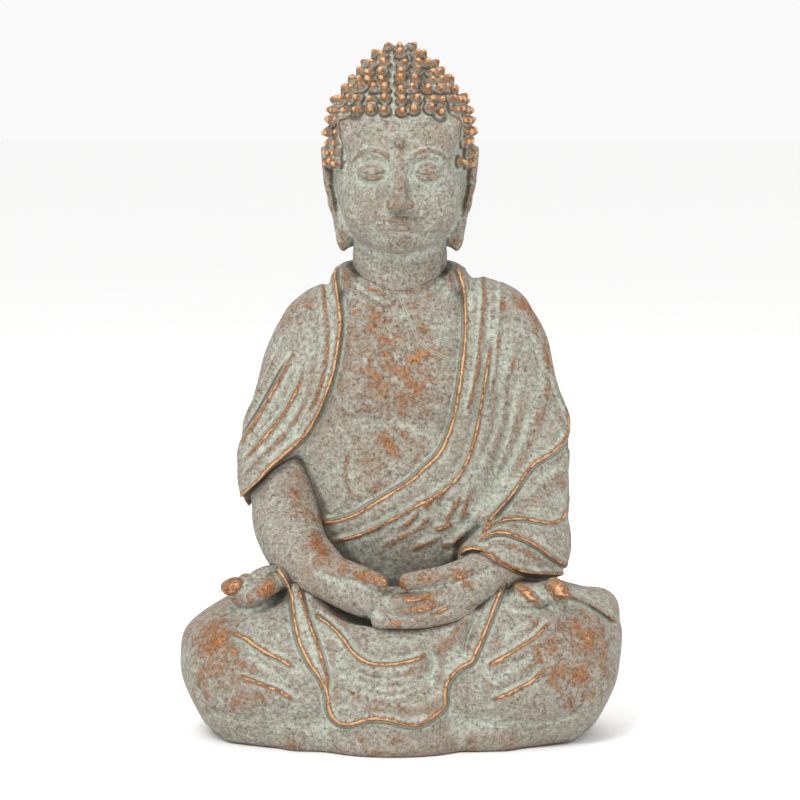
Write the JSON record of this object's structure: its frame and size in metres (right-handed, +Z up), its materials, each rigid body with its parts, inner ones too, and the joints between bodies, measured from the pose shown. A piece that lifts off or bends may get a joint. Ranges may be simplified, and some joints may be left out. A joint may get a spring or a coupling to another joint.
{
  "type": "buddha statue",
  "caption": "Seated figure in meditation on crossed legs, with joined hands, draped robe, snail-curl hair and a closed flat underside; stands free indoors or in a garden.",
  "frame": {"origin": "middle of the footprint, on the ground under the felt pads", "axes": "+Z up through the crown, -Y the way the figure faces, +X towards the figure's left knee"},
  "size_m": [0.2582, 0.17, 0.3995],
  "materials": {
    "patina_finish": "satin",
    "raw_resin": "matte",
    "black_rubber": "matte",
    "grey_felt": "matte",
    "steel_rod": "satin"
  },
  "bodies": {
    "root": {"legs_casting": "patina_finish", "torso_casting": "patina_finish", "hands_casting": "patina_finish", "head_casting": "patina_finish", "base_plate": "raw_resin", "filler_bung": "black_rubber", "felt_pads": "grey_felt", "neck_dowel": "steel_rod", "waist_dowels": "steel_rod"}
  },
  "joints": []
}
